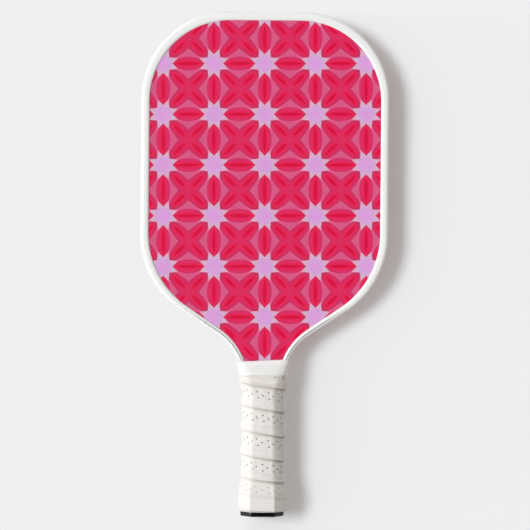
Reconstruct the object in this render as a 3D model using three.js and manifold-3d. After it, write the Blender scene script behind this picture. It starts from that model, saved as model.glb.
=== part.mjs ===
// A pickleball paddle: a flat composite blade with a moulded edge guard, and a short
// eight-sided handle with a wrapped grip, a throat collar and a flared butt cap.
//
// Millimetres. +Z runs from the butt end (z = 0) to the top of the blade, X is the
// blade's width and Y its thickness. The front face looks towards -Y.

import * as THREE from 'three';
import { mergeVertices } from 'three/addons/utils/BufferGeometryUtils.js';
import Module from 'manifold-3d';

const wasm = await Module();
wasm.setup();

// ---------------------------------------------------------------- driving dimensions

const GAP = 0.3; // clearance between pieces that follow each other's curves
const OVERRUN = 50; // how far a cutting shape runs past what it cuts

// Outside of the edge guard, seen from the front.
const GUARD = {
  halfWidth: 98.4,
  top: 400,
  topRadius: 69.5,
  cornerRadius: 72.1, // the two lower corners of the blade
  cornerHeight: 223.1,
  flankAngle: 57, // degrees between the flank's normal and level
  throatRadius: 47.6,
  neckHalf: 16.1,
};

// Inner edge of the guard's lips, round the part of the face that shows.
const WINDOW = {
  halfWidth: 91.8,
  top: 392.9,
  topRadius: 64.2,
  cornerRadius: 70.3,
  cornerHeight: 224,
  flankAngle: 55.8,
  throatRadius: 51.2,
  neckHalf: 12,
};

const GUARD_WALL = 1.5;
const GUARD_EDGE_ROUND = 2.75;
const GUARD_BOTTOM = 116; // the guard's two tails end under the collar
const TAIL_STEP = 0.75; // how far the tails are sunk below the collar

// Half thicknesses of the layers, measured from the middle plane.
const CORE_FACE = 6;
const VEIL_FACE = 6.25;
const SHEET_FACE = 6.75;
const FILM_FACE = 7;
const TAIL_FACE = 7.625;
const LIP_FACE = 8.125;

const FILM_BOTTOM = 116;
const TANG_BOTTOM = 3.25;

const CELL_PITCH = 12;
const CELL_WALL = 0.6;
const FIRST_CELL_ROW = 7.8; // the first row's centres, above the end of the tang

// Handle: an octagon given by its half sizes and the half widths of its flats.
const PALLET = { halfWidth: 14.27, halfDepth: 12.6, frontFlat: 7.9, sideFlat: 6.6 };
const PALLET_SHOULDER = 99; // above here the pallets are planed down to the blade
const PALLET_TOP = 115.5;
const PALLET_TOP_DEPTH = 8.9;
const PALLET_TOP_FLAT = 12;

const WRAP = 2.1; // thickness of the cushioned grip strip
const WRAP_BOTTOM = 4.25;
const WRAP_TOP = 115.5;
const DOUBLED_FROM = 101; // the strip's end laps over itself above here
const DOUBLED = { halfWidth: 18.1, halfDepth: 15.6, frontFlat: 9.6, sideFlat: 8 };
const WRAP_NECK = { halfWidth: 18.1, halfDepth: 12.4, frontFlat: 12.2, sideFlat: 7.6 };
const WRAP_END = { halfWidth: 18, halfDepth: 11.3, frontFlat: 12.9, sideFlat: 7.6 };
const NECK_INSIDE = { halfWidth: 15.9, halfDepth: 9.2, frontFlat: 12.5, sideFlat: 7.1 };

const FLARE_HALF_WIDTH = 19.05;
const FLARE_TOP = 31;
const FLARE_FULL = 20;
const FLARE_EASE = 0.6; // how much of the flare is gone halfway up its slope
const SEAT_SLOPE = 2; // height over which the wrap's inside narrows above the skirt
// How the strip's lower edge turns in: height above the edge, and distance in.
const TURNED_EDGE = [[0, 1.6], [0.7, 0.5], [2, 0]];

const CAP = { halfWidth: 17.2, halfDepth: 15.3, frontFlat: 9.2, sideFlat: 7.3 };
const SKIRT = { halfWidth: 16.65, halfDepth: 14.9, frontFlat: 9, sideFlat: 7.2 };
const CAP_FLOOR = 3;
const CAP_RIM = 3.95;
const CAP_CHAMFER = 0.7;
const CAP_LEDGE = 0.05; // height of the step from the rim in to the skirt
const SKIRT_EDGE = 0.5; // thickness of the skirt's top edge
const DISC_RADIUS = 10;
const DISC_THICKNESS = 0.75;
const DISC_EDGE = 0.45; // thickness at the disc's rim
const DOME_EDGE = { radius: 8.5, thickness: 0.675 };
const DISC_RECESS = 1;

const STAPLE_HEIGHT = 14;
const STAPLE_WIDTH = 9;
const STAPLE_WIRE = 0.75;
const STAPLE_LEG = 4.5;
const STAPLE_SUNK = 0.35; // below the skirt's outside

const COLLAR_BOTTOM = 111.7;
const COLLAR_TOP = 124.1;
const COLLAR_RIBS = 5;
const COLLAR_RIB_HEIGHT = 0.35;
const COLLAR_FOOT = { halfWidth: 19.2, halfDepth: 14.2, frontFlat: 12.6, sideFlat: 8 };
const COLLAR_HEAD = { halfWidth: 20.9, halfDepth: 9.3, frontFlat: 18.8, sideFlat: 7.2 };
const HEAD_INSIDE = { halfWidth: 19.8, halfDepth: 8, frontFlat: 18.9, sideFlat: 7.7 };
const TAPE = 0.25;
const TAPE_BOTTOM = 112.6;
const TAPE_SEAT = 0.65; // how far the wrap's end is pressed in under the tape

// ---------------------------------------------------------------- helpers

const CORNER_STEPS = 2; // flats in each rounded corner of a handle section
const ARC_DIVISIONS = 6; // twice this many flats in each arc of the blade
const EDGE_STEPS = 3; // flats in the guard's rounded edge
const ROUND_STEPS = 32; // flats round the disc and its recess
const WELD = 1e-3; // corners closer than this are one corner

function toSolid(geometry) {
  const bare = geometry.clone();
  bare.deleteAttribute('normal');
  bare.deleteAttribute('uv');
  const merged = mergeVertices(bare, WELD);
  return new wasm.Manifold(new wasm.Mesh({
    numProp: 3,
    vertProperties: new Float32Array(merged.attributes.position.array),
    triVerts: new Uint32Array(merged.index.array),
  }));
}

function toGeometry(solid) {
  const mesh = solid.getMesh();
  const geometry = new THREE.BufferGeometry();
  geometry.setAttribute('position', new THREE.BufferAttribute(mesh.vertProperties, 3));
  geometry.setIndex(new THREE.BufferAttribute(mesh.triVerts, 1));
  geometry.computeVertexNormals();
  return geometry;
}

function block(x0, x1, y0, y1, z0, z1) {
  const geometry = new THREE.BoxGeometry(x1 - x0, y1 - y0, z1 - z0);
  geometry.translate((x0 + x1) / 2, (y0 + y1) / 2, (z0 + z1) / 2);
  return toSolid(geometry);
}

// Everything between two heights, to trim a piece with.
function band(z0, z1) {
  const reach = GUARD.halfWidth + OVERRUN;
  return block(-reach, reach, -OVERRUN, OVERRUN, z0, z1);
}

// The same outline moved inwards all round: convex arcs shrink and hollow arcs grow.
function inset(outline, distance) {
  return {
    ...outline,
    halfWidth: outline.halfWidth - distance,
    top: outline.top - distance,
    topRadius: outline.topRadius - distance,
    cornerRadius: outline.cornerRadius - distance,
    throatRadius: outline.throatRadius + distance,
    neckHalf: outline.neckHalf - distance,
  };
}

// Blade and neck as one closed line: straight neck, hollow throat, straight flank,
// lower corner, straight side and top corner, the same on both sides.
function bladeShape(outline, bottom) {
  const flank = THREE.MathUtils.degToRad(outline.flankAngle);
  const cos = Math.cos(flank);
  const sin = Math.sin(flank);
  const cornerX = outline.halfWidth - outline.cornerRadius;
  const cornerZ = outline.cornerHeight;
  const throatX = outline.neckHalf + outline.throatRadius;
  const reach = outline.cornerRadius + outline.throatRadius;
  const flankLength = (cornerX + reach * cos - throatX) / sin;
  const throatZ = cornerZ - reach * sin - flankLength * cos;
  const topX = outline.halfWidth - outline.topRadius;
  const topZ = outline.top - outline.topRadius;

  const shape = new THREE.Shape();
  shape.moveTo(-outline.neckHalf, bottom);
  shape.lineTo(outline.neckHalf, bottom);
  shape.absarc(throatX, throatZ, outline.throatRadius, Math.PI, Math.PI - flank, true);
  shape.absarc(cornerX, cornerZ, outline.cornerRadius, -flank, 0, false);
  shape.absarc(topX, topZ, outline.topRadius, 0, Math.PI / 2, false);
  shape.absarc(-topX, topZ, outline.topRadius, Math.PI / 2, Math.PI, false);
  shape.absarc(-cornerX, cornerZ, outline.cornerRadius, Math.PI, Math.PI + flank, false);
  shape.absarc(-throatX, throatZ, outline.throatRadius, flank, 0, true);
  return shape;
}

// Extrudes a front-view shape through the thickness, from y0 to y1.
function slab(shape, y0, y1, edgeRound = 0) {
  const geometry = new THREE.ExtrudeGeometry(shape, {
    depth: y1 - y0 - 2 * edgeRound,
    curveSegments: ARC_DIVISIONS,
    bevelEnabled: edgeRound > 0,
    bevelThickness: edgeRound,
    bevelSize: edgeRound,
    bevelOffset: -edgeRound,
    bevelSegments: EDGE_STEPS,
  });
  geometry.rotateX(Math.PI / 2);
  geometry.translate(0, y1 - edgeRound, 0);
  return geometry;
}

const CORNER_ROUND = 1;
const CORNER_SHARE = 0.4; // the most of a side that one corner's rounding takes

// Where a corner's rounding starts: never past the middle of a short side.
function stepTowards(corner, next) {
  const side = next.clone().sub(corner);
  return side.setLength(Math.min(CORNER_ROUND, side.length() * CORNER_SHARE)).add(corner);
}

// Points round an octagon with slightly rounded corners, counter-clockwise from above.
function octagonRing({ halfWidth, halfDepth, frontFlat, sideFlat }) {
  const corners = [];
  for (const [sx, sy] of [[1, -1], [1, 1], [-1, 1], [-1, -1]]) {
    const pair = [
      new THREE.Vector2(sx * frontFlat, sy * halfDepth),
      new THREE.Vector2(sx * halfWidth, sy * sideFlat),
    ];
    corners.push(...(sx * sy < 0 ? pair : pair.reverse()));
  }
  const ring = [];
  corners.forEach((corner, i) => {
    const before = corners[(i + corners.length - 1) % corners.length];
    const after = corners[(i + 1) % corners.length];
    const curve = new THREE.QuadraticBezierCurve(
      stepTowards(corner, before),
      corner,
      stepTowards(corner, after),
    );
    ring.push(...curve.getPoints(CORNER_STEPS));
  });
  return ring;
}

function grow(section, amount) {
  const slope = Math.tan(Math.PI / 8) * amount;
  return {
    halfWidth: section.halfWidth + amount,
    halfDepth: section.halfDepth + amount,
    frontFlat: section.frontFlat + slope,
    sideFlat: section.sideFlat + slope,
  };
}

function blend(a, b, t) {
  const mixed = {};
  for (const key of Object.keys(a)) {
    mixed[key] = THREE.MathUtils.lerp(a[key], b[key], t);
  }
  return mixed;
}

// A closed solid through rings of equally many points, listed from the lowest up.
// It is a cylinder whose rows of points are moved onto the rings.
function loft(levels) {
  const count = levels[0].ring.length;
  const rows = levels.length - 1;
  const geometry = new THREE.CylinderGeometry(1, 1, 1, count, rows);
  const position = geometry.attributes.position;
  for (let i = 0; i < position.count; i += 1) {
    const x = position.getX(i);
    const z = position.getZ(i);
    const level = levels[Math.round((position.getY(i) + 0.5) * rows)];
    if (Math.hypot(x, z) < 0.5) {
      const middle = new THREE.Vector2();
      level.ring.forEach((point) => middle.add(point));
      middle.divideScalar(count);
      position.setXYZ(i, middle.x, middle.y, level.z);
    } else {
      const turn = Math.atan2(x, z) / (2 * Math.PI);
      const index = (Math.round(turn * count) + count) % count;
      position.setXYZ(i, level.ring[index].x, level.ring[index].y, level.z);
    }
  }
  return geometry;
}

function octagonLoft(levels) {
  return toSolid(loft(levels.map(({ z, section }) => ({ z, ring: octagonRing(section) }))));
}

const group = new THREE.Group();

function add(name, geometry, color, roughness, metalness = 0) {
  const material = new THREE.MeshStandardMaterial({ color, roughness, metalness });
  const mesh = new THREE.Mesh(geometry, material);
  mesh.name = name;
  group.add(mesh);
}

// The front piece is made at -Y, and its mirror image is the back piece.
function addPair(name, makeSolid, color, roughness, metalness) {
  const front = makeSolid();
  add(`${name}_front`, toGeometry(front), color, roughness, metalness);
  add(`${name}_back`, toGeometry(front.mirror([0, 1, 0])), color, roughness, metalness);
}

// ---------------------------------------------------------------- blade panel

const PANEL = inset(GUARD, GUARD_WALL + GAP);
const panelShape = bladeShape(PANEL, TANG_BOTTOM);

function isInside(point, polygon) {
  let inside = false;
  polygon.forEach((a, i) => {
    const b = polygon[(i + 1) % polygon.length];
    const crosses = (a.y > point.y) !== (b.y > point.y);
    if (crosses && point.x < a.x + ((b.x - a.x) * (point.y - a.y)) / (b.y - a.y)) {
      inside = !inside;
    }
  });
  return inside;
}

// Open six-sided cells through the whole thickness, wherever a full cell fits.
function honeycombCore() {
  const shape = panelShape.clone();
  const limit = bladeShape(inset(PANEL, CELL_WALL), TANG_BOTTOM + CELL_WALL);
  const border = limit.getPoints(ARC_DIVISIONS);
  const cellRadius = (CELL_PITCH - CELL_WALL) / Math.sqrt(3);
  const rowStep = (CELL_PITCH * Math.sqrt(3)) / 2;
  const rows = Math.ceil(PANEL.top / rowStep);
  const columns = Math.ceil(PANEL.halfWidth / CELL_PITCH);
  for (let row = 0; row < rows; row += 1) {
    const centreZ = TANG_BOTTOM + FIRST_CELL_ROW + row * rowStep;
    const shift = (row % 2) * 0.5;
    for (let column = -columns - 1; column <= columns; column += 1) {
      const centreX = (column + shift) * CELL_PITCH;
      const cell = [];
      for (let corner = 0; corner < 6; corner += 1) {
        const angle = (corner + 0.5) * (Math.PI / 3);
        const x = centreX + cellRadius * Math.cos(angle);
        const z = centreZ + cellRadius * Math.sin(angle);
        cell.push(new THREE.Vector2(x, z));
      }
      if (cell.every((point) => isInside(point, border))) {
        shape.holes.push(new THREE.Path(cell));
      }
    }
  }
  return slab(shape, -CORE_FACE, CORE_FACE);
}

add('honeycomb_core', honeycombCore(), 0xd8d8cf, 0.55);
addPair('core_veil', () => toSolid(slab(panelShape, -VEIL_FACE, -CORE_FACE)), 0xe9e8e2, 0.9);
addPair('face_sheet', () => toSolid(slab(panelShape, -SHEET_FACE, -VEIL_FACE)), 0xd9dccb, 0.4);
addPair('graphic_film', () => {
  const film = toSolid(slab(panelShape, -FILM_FACE, -SHEET_FACE));
  return film.intersect(band(FILM_BOTTOM, GUARD.top + OVERRUN));
}, 0xdc2f63, 0.35);

// ---------------------------------------------------------------- edge guard

// A channel round the blade's rim. Its lips lap over both printed faces, and its two
// thinner tails run down the neck under the collar.
function edgeGuard() {
  const channel = (outline, face, edgeRound) => {
    const shape = bladeShape(outline, GUARD_BOTTOM - OVERRUN);
    return toSolid(slab(shape, -face, face, edgeRound));
  };
  const rim = channel(GUARD, LIP_FACE, GUARD_EDGE_ROUND);
  const tail = channel(inset(GUARD, TAIL_STEP), TAIL_FACE);
  const pocket = channel(inset(GUARD, GUARD_WALL), FILM_FACE);
  const opening = channel(WINDOW, OVERRUN);
  const above = rim.intersect(band(COLLAR_TOP + GAP, GUARD.top + OVERRUN));
  const below = tail.intersect(band(GUARD_BOTTOM, COLLAR_TOP + 2 * GAP));
  return above.add(below).subtract(pocket).subtract(opening);
}

add('edge_guard', toGeometry(edgeGuard()), 0xf0f1ee, 0.42);

// ---------------------------------------------------------------- handle core

const staple = {
  outer: SKIRT.halfDepth - STAPLE_SUNK,
  half: STAPLE_WIDTH / 2,
};

// Room for the front staple's crown and legs, with a clearance all round.
function stapleRoom(clearance) {
  const { outer, half } = staple;
  const thick = STAPLE_WIRE / 2 + clearance;
  const z0 = STAPLE_HEIGHT - thick;
  const z1 = STAPLE_HEIGHT + thick;
  const back = -outer + STAPLE_WIRE + clearance;
  let room = block(-half - clearance, half + clearance, -outer - STAPLE_LEG, back, z0, z1);
  for (const side of [-1, 1]) {
    const middle = side * (half - STAPLE_WIRE / 2);
    const tip = -outer + STAPLE_LEG + clearance;
    room = room.add(block(middle - thick, middle + thick, -outer, tip, z0, z1));
  }
  return room;
}

// Half of the octagon in front of the blade's tang, with its top end planed down.
function handlePallet() {
  const level = (z, topFlat, depth) => ({
    z,
    ring: [
      new THREE.Vector2(-topFlat, -depth),
      new THREE.Vector2(topFlat, -depth),
      new THREE.Vector2(PALLET.halfWidth - GAP, -SHEET_FACE),
      new THREE.Vector2(-PALLET.halfWidth + GAP, -SHEET_FACE),
    ],
  });
  const body = toSolid(loft([
    level(TANG_BOTTOM, PALLET.frontFlat, PALLET.halfDepth),
    level(PALLET_SHOULDER, PALLET.frontFlat, PALLET.halfDepth),
    level(PALLET_TOP, PALLET_TOP_FLAT, PALLET_TOP_DEPTH),
  ]));
  return body.subtract(stapleRoom(GAP));
}

addPair('handle_pallet', handlePallet, 0x9b9a94, 0.7);

// ---------------------------------------------------------------- butt cap

const palletSeat = grow(PALLET, GAP);
const skirtTop = grow(PALLET, GAP + SKIRT_EDGE);

function buttCap() {
  const foot = grow(CAP, -CAP_CHAMFER);
  const body = octagonLoft([
    { z: 0, section: foot },
    { z: CAP_CHAMFER, section: CAP },
    { z: CAP_RIM, section: CAP },
    { z: CAP_RIM + CAP_LEDGE, section: SKIRT },
    { z: FLARE_FULL, section: SKIRT },
    { z: FLARE_TOP, section: skirtTop },
  ]);
  const seat = octagonLoft([
    { z: CAP_FLOOR, section: palletSeat },
    { z: FLARE_TOP + OVERRUN, section: palletSeat },
  ]);
  const radius = DISC_RADIUS + GAP;
  const recess = new THREE.CylinderGeometry(radius, radius, OVERRUN, ROUND_STEPS);
  recess.rotateX(Math.PI / 2);
  recess.translate(0, 0, DISC_RECESS - OVERRUN / 2);
  const room = stapleRoom(GAP);
  return body.subtract(seat).subtract(toSolid(recess)).subtract(room).subtract(room.mirror([0, 1, 0]));
}

add('butt_cap', toGeometry(buttCap()), 0x0c0b0b, 0.38);

// A plain domed sticker in the cap's end, with its dome inside the recess.
function endDisc() {
  const profile = [
    new THREE.Vector2(0, DISC_RECESS),
    new THREE.Vector2(DISC_RADIUS, DISC_RECESS),
    new THREE.Vector2(DISC_RADIUS, DISC_RECESS - DISC_EDGE),
    new THREE.Vector2(DOME_EDGE.radius, DISC_RECESS - DOME_EDGE.thickness),
    new THREE.Vector2(0, DISC_RECESS - DISC_THICKNESS),
  ];
  const geometry = new THREE.LatheGeometry(profile.reverse(), ROUND_STEPS);
  geometry.rotateX(Math.PI / 2);
  return geometry;
}

add('end_disc', endDisc(), 0x1c1c1e, 0.25);

// Two wire staples hold the cap's skirt to the pallets under the wrap.
function capStaple() {
  const { outer, half } = staple;
  const inner = half - STAPLE_WIRE;
  const tip = outer - STAPLE_LEG;
  const outline = [
    [-half, -outer], [half, -outer], [half, -tip], [inner, -tip],
    [inner, -outer + STAPLE_WIRE], [-inner, -outer + STAPLE_WIRE], [-inner, -tip], [-half, -tip],
  ];
  const shape = new THREE.Shape(outline.map(([x, y]) => new THREE.Vector2(x, y)));
  const geometry = new THREE.ExtrudeGeometry(shape, { depth: STAPLE_WIRE, bevelEnabled: false });
  geometry.translate(0, 0, STAPLE_HEIGHT - STAPLE_WIRE / 2);
  return toSolid(geometry);
}

addPair('cap_staple', capStaple, 0xb9bbbd, 0.35, 1);

// ---------------------------------------------------------------- grip wrap

const wrapInside = grow(PALLET, GAP);
const wrapOutside = grow(wrapInside, WRAP);
const flareOutside = grow(wrapOutside, FLARE_HALF_WIDTH - wrapOutside.halfWidth);

// The whole strip as one sleeve: flared over the cap, doubled at the top, and pressed
// in a little where the finishing tape holds its end.
function gripWrap() {
  const outside = octagonLoft([
    ...TURNED_EDGE.map(([height, distance]) => (
      { z: WRAP_BOTTOM + height, section: grow(flareOutside, -distance) }
    )),
    { z: FLARE_FULL, section: flareOutside },
    { z: (FLARE_FULL + FLARE_TOP) / 2, section: blend(flareOutside, wrapOutside, FLARE_EASE) },
    { z: FLARE_TOP, section: wrapOutside },
    { z: PALLET_SHOULDER, section: wrapOutside },
    { z: DOUBLED_FROM, section: DOUBLED },
    { z: COLLAR_BOTTOM, section: WRAP_NECK },
    { z: COLLAR_BOTTOM + GAP, section: WRAP_NECK },
    { z: COLLAR_BOTTOM + 2 * GAP, section: grow(WRAP_NECK, -TAPE_SEAT) },
    { z: WRAP_TOP, section: grow(WRAP_END, -TAPE_SEAT) },
  ]);
  const inside = octagonLoft([
    { z: 0, section: grow(SKIRT, GAP) },
    { z: FLARE_FULL, section: grow(SKIRT, GAP) },
    { z: FLARE_TOP, section: grow(skirtTop, GAP) },
    { z: FLARE_TOP + GAP, section: grow(skirtTop, GAP) },
    { z: FLARE_TOP + SEAT_SLOPE, section: wrapInside },
    { z: PALLET_SHOULDER, section: wrapInside },
    { z: WRAP_TOP, section: NECK_INSIDE },
    { z: WRAP_TOP + OVERRUN, section: NECK_INSIDE },
  ]);
  return outside.subtract(inside);
}

add('grip_wrap', toGeometry(gripWrap()), 0xe8e3dc, 0.75);

// A turn of thin tape that holds down the wrap's end, out of sight below the collar.
function finishingTape() {
  const tube = (amount) => octagonLoft([
    { z: TAPE_BOTTOM, section: grow(WRAP_NECK, amount) },
    { z: WRAP_TOP, section: grow(WRAP_END, amount) },
  ]);
  return tube(GAP + TAPE - TAPE_SEAT).subtract(tube(GAP - TAPE_SEAT));
}

add('finishing_tape', toGeometry(finishingTape()), 0xf4f4f2, 0.3);

// ---------------------------------------------------------------- throat collar

// A stretched rubber sleeve that takes the handle's octagon up to the flat blade.
function gripCollar() {
  const rows = 2 * COLLAR_RIBS;
  const levels = [];
  for (let row = 0; row <= rows; row += 1) {
    const share = row / rows;
    const rise = row % 2 === 0 ? -COLLAR_RIB_HEIGHT : 0;
    levels.push({
      z: THREE.MathUtils.lerp(COLLAR_BOTTOM, COLLAR_TOP, share),
      section: grow(blend(COLLAR_FOOT, COLLAR_HEAD, share), rise),
    });
  }
  const inside = octagonLoft([
    { z: COLLAR_BOTTOM - OVERRUN, section: grow(WRAP_NECK, GAP) },
    { z: COLLAR_BOTTOM + 2 * GAP, section: grow(WRAP_NECK, GAP) },
    { z: WRAP_TOP + GAP, section: grow(WRAP_END, GAP) },
    { z: COLLAR_TOP, section: HEAD_INSIDE },
    { z: COLLAR_TOP + OVERRUN, section: HEAD_INSIDE },
  ]);
  return octagonLoft(levels).subtract(inside);
}

add('grip_collar', toGeometry(gripCollar()), 0xf3f3f0, 0.5);

export default group;
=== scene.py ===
# %% [markdown]
# # A pickleball paddle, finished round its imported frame
# The CAD model fixes every size. This script loads it, keeps the flat laminate as it
# is, and makes finer pieces for what the hand and eye meet: the edge guard, the ribbed
# collar, the wound grip, and the butt cap with its disc.
#
# The paddle stands upright. +Z runs from the butt to the top of the blade, X is the
# width, and the front face looks towards -Y. Blender works in metres.

# %% Load the frame
import math

import bmesh
import bpy
import numpy as np
from mathutils import Matrix, Vector


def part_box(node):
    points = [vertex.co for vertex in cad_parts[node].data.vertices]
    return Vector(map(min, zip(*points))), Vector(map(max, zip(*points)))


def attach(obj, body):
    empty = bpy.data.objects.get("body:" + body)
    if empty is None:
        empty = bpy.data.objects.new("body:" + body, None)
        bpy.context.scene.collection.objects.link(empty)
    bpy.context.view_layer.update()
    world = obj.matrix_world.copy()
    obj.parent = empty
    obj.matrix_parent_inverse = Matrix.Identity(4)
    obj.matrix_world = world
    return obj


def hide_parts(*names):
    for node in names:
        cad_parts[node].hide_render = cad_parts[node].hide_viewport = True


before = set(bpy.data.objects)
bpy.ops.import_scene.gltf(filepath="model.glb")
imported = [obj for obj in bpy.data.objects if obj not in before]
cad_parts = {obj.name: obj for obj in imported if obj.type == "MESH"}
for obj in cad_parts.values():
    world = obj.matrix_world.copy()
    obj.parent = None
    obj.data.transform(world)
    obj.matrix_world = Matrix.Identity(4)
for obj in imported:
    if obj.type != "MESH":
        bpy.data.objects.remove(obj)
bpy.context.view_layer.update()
scene = bpy.context.scene
MM = 0.001

# %% [markdown]
# ## Camera
# The paddle is seen square on to its front face from 1.6 m away, so the handle
# shows almost no perspective. The camera could be held level, but a paddle hung
# by hand is rarely quite straight, so the camera is rolled by half a degree.

# %% Camera
VIEW_DISTANCE = 1.6
VIEW_WIDTH = 0.4221
VIEW_CENTRE = (0.0007, 0.199)
VIEW_ROLL = math.radians(0.49)

camera_data = bpy.data.cameras.new("camera")
camera_data.sensor_width = 36
camera_data.lens = camera_data.sensor_width * VIEW_DISTANCE / VIEW_WIDTH
camera_data.clip_end = 20
camera = bpy.data.objects.new("camera", camera_data)
scene.collection.objects.link(camera)
stand = Matrix.Translation((VIEW_CENTRE[0], -VIEW_DISTANCE, VIEW_CENTRE[1]))
level = stand @ Matrix.Rotation(math.pi / 2, 4, "X")
camera.matrix_world = level @ Matrix.Rotation(VIEW_ROLL, 4, "Z")
scene.camera = camera
scene.view_settings.view_transform = "Standard"
print("lens", round(camera_data.lens, 1), "mm")

# %% [markdown]
# ## A short way to write shader graphs
# A finish is a sum of small steps, and each step is a node. Written out in full, a
# graph is long and hard to read, so this helper adds a node for each step and hands
# back its output socket. Numbers and sockets can be mixed freely.

# %% Graph helper


def srgb(red, green, blue):
    """A colour given as it looks on screen, 0 to 255, as the linear values that light uses."""
    linear = []
    for level in (red, green, blue):
        share = level / 255
        linear.append(share / 12.92 if share <= 0.04045 else ((share + 0.055) / 1.055) ** 2.4)
    return (*linear, 1.0)


class Graph:
    """Adds nodes to one tree. Every method gives back an output socket."""

    def __init__(self, tree):
        self.tree = tree

    def node(self, kind, inputs=(), **settings):
        made = self.tree.nodes.new("ShaderNode" + kind)
        for name, value in settings.items():
            setattr(made, name, value)
        for name, value in dict(inputs).items():
            self.feed(made.inputs[name], value)
        return made

    def feed(self, socket, value):
        if isinstance(value, bpy.types.NodeSocket):
            self.tree.links.new(value, socket)
        else:
            socket.default_value = value

    def math(self, operation, *values):
        made = self.tree.nodes.new("ShaderNodeMath")
        made.operation = operation
        for socket, value in zip(made.inputs, values):
            self.feed(socket, value)
        return made.outputs[0]

    def mix(self, share, first, second):
        made = self.node("Mix", data_type="RGBA")
        self.feed(made.inputs[0], share)
        self.feed(made.inputs[6], first)
        self.feed(made.inputs[7], second)
        return made.outputs[2]

    def ramp(self, value, low, high, low_out=0.0, high_out=1.0, shape="LINEAR"):
        """Goes evenly from low_out to high_out as value goes from low to high."""
        made = self.node("MapRange", interpolation_type=shape)
        for index, given in enumerate((value, low, high, low_out, high_out)):
            self.feed(made.inputs[index], given)
        return made.outputs[0]

    def blend(self, value, low, high, low_out=0.0, high_out=1.0):
        """Like ramp, but with soft ends."""
        return self.ramp(value, low, high, low_out, high_out, "SMOOTHSTEP")

    def place(self):
        return self.node("TexCoord").outputs["Object"]

    def split(self, vector):
        return self.node("SeparateXYZ", {"Vector": vector}).outputs

    def noise(self, vector, scale, detail=2.0, roughness=0.5):
        inputs = {"Vector": vector, "Scale": scale, "Detail": detail, "Roughness": roughness}
        return self.node("TexNoise", inputs).outputs["Fac"]

    def cells(self, vector, scale, feature="F1"):
        """The distance to the middle of the nearest of many irregular cells."""
        made = self.node("TexVoronoi", {"Vector": vector, "Scale": scale}, feature=feature)
        return made.outputs["Distance"]

    def stretched(self, vector, scale, rotation=(0, 0, 0)):
        """The place turned and scaled, so that a noise read from it is drawn out."""
        made = self.node("Mapping", {"Vector": vector, "Rotation": rotation, "Scale": scale})
        return made.outputs["Vector"]


print("white on screen is", srgb(255, 255, 255)[:3])

# %% [markdown]
# ## Backdrop and light
# The flared end of the grip all but touches a pale sheet behind the paddle, which
# takes its shadow. One key light from the left draws the shadow's firm part, and a much
# wider one on the same side gives it a long tail. The room is brightest on that side
# too. A lamp behind lights the back of the blade. The sheet is clear from behind, and
# it throws no shadow, so the paddle can be looked at from every side.
#
# White things close to white paper brighten it with a glow that studio work usually
# hides, so the paper gives an even light of its own wherever no shadow falls. A little
# of that light is left in the shadow too, because a real room fills its shadows.

# %% Backdrop
SHEET_SIZE = 8
WALL_GAP = 0.0005
PAPER = (0.9, 0.9, 0.9, 1)
PAPER_LEVEL = 0.871
PAPER_SHADED = 0.834
SHADE_STARTS_X = (-0.018, -0.01)
SHADE_ENDS_Z = (0.405, 0.398)


def make_paper():
    """Paper that takes shadows only to the right of the grip and below the top of the blade."""
    material = bpy.data.materials.new("backdrop_paper")
    material.use_nodes = True
    graph = Graph(material.node_tree)
    graph.tree.nodes.clear()
    paper = graph.node("BsdfDiffuse", {"Color": PAPER}).outputs[0]
    even = graph.node("Emission", {"Color": (PAPER_LEVEL,) * 3 + (1,)}).outputs[0]
    place = graph.node("NewGeometry").outputs
    x, y, z = graph.split(place["Position"])
    most = math.sqrt(PAPER_SHADED)
    right = graph.blend(x, *SHADE_STARTS_X, 0.0, most)
    below = graph.blend(z, *SHADE_ENDS_Z, 0.0, most)
    shaded = graph.math("MULTIPLY", right, below)
    front = graph.node("MixShader", {0: shaded, 1: even, 2: paper}).outputs[0]
    clear = graph.node("BsdfTransparent").outputs[0]
    seen = graph.node("MixShader", {0: place["Backfacing"], 1: front, 2: clear}).outputs[0]
    graph.node("OutputMaterial", {"Surface": seen})
    return material


def make_backdrop():
    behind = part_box("grip_wrap")[1].y + WALL_GAP
    upright = (math.pi / 2, 0, 0)
    bpy.ops.mesh.primitive_plane_add(size=SHEET_SIZE, location=(0, behind, 0.2), rotation=upright)
    sheet = bpy.context.object
    sheet.name = "backdrop"
    sheet.visible_shadow = False
    sheet.data.materials.append(make_paper())
    return sheet


backdrop = make_backdrop()
print("backdrop at y =", round(backdrop.location.y, 4))

# %% Lights


def add_lamp(name, strength, colour, towards_light, spread):
    """A distant lamp that shines from a direction and looks spread degrees wide."""
    data = bpy.data.lights.new(name, "SUN")
    data.energy = strength
    data.color = colour
    data.angle = math.radians(spread)
    lamp = bpy.data.objects.new(name, data)
    scene.collection.objects.link(lamp)
    lamp.rotation_euler = Vector(towards_light).to_track_quat("Z", "Y").to_euler()
    return lamp


add_lamp("key", 1.92, (0.938, 1.01, 1.045), (-0.7, -1, 0.13), 19)
add_lamp("soft_key", 0.34, (0.97, 1.0, 1.03), (-1.0, -1, 0.2), 75)
add_lamp("rear", 0.45, (1.0, 1.0, 1.0), (0.8, 1.5, 0.8), 40)

ROOM = (0.395, 0.352, 0.332, 1)
ROOM_RIGHT = 0.45
DIMS_FROM = 0.2
DARK_BEHIND = (-0.97, -0.9)
WINDOW = (0.63, 0.62, 0.61, 1)
WINDOW_FALLOFF = 4
BACKGROUND = (0.87, 0.87, 0.87, 1)


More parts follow.
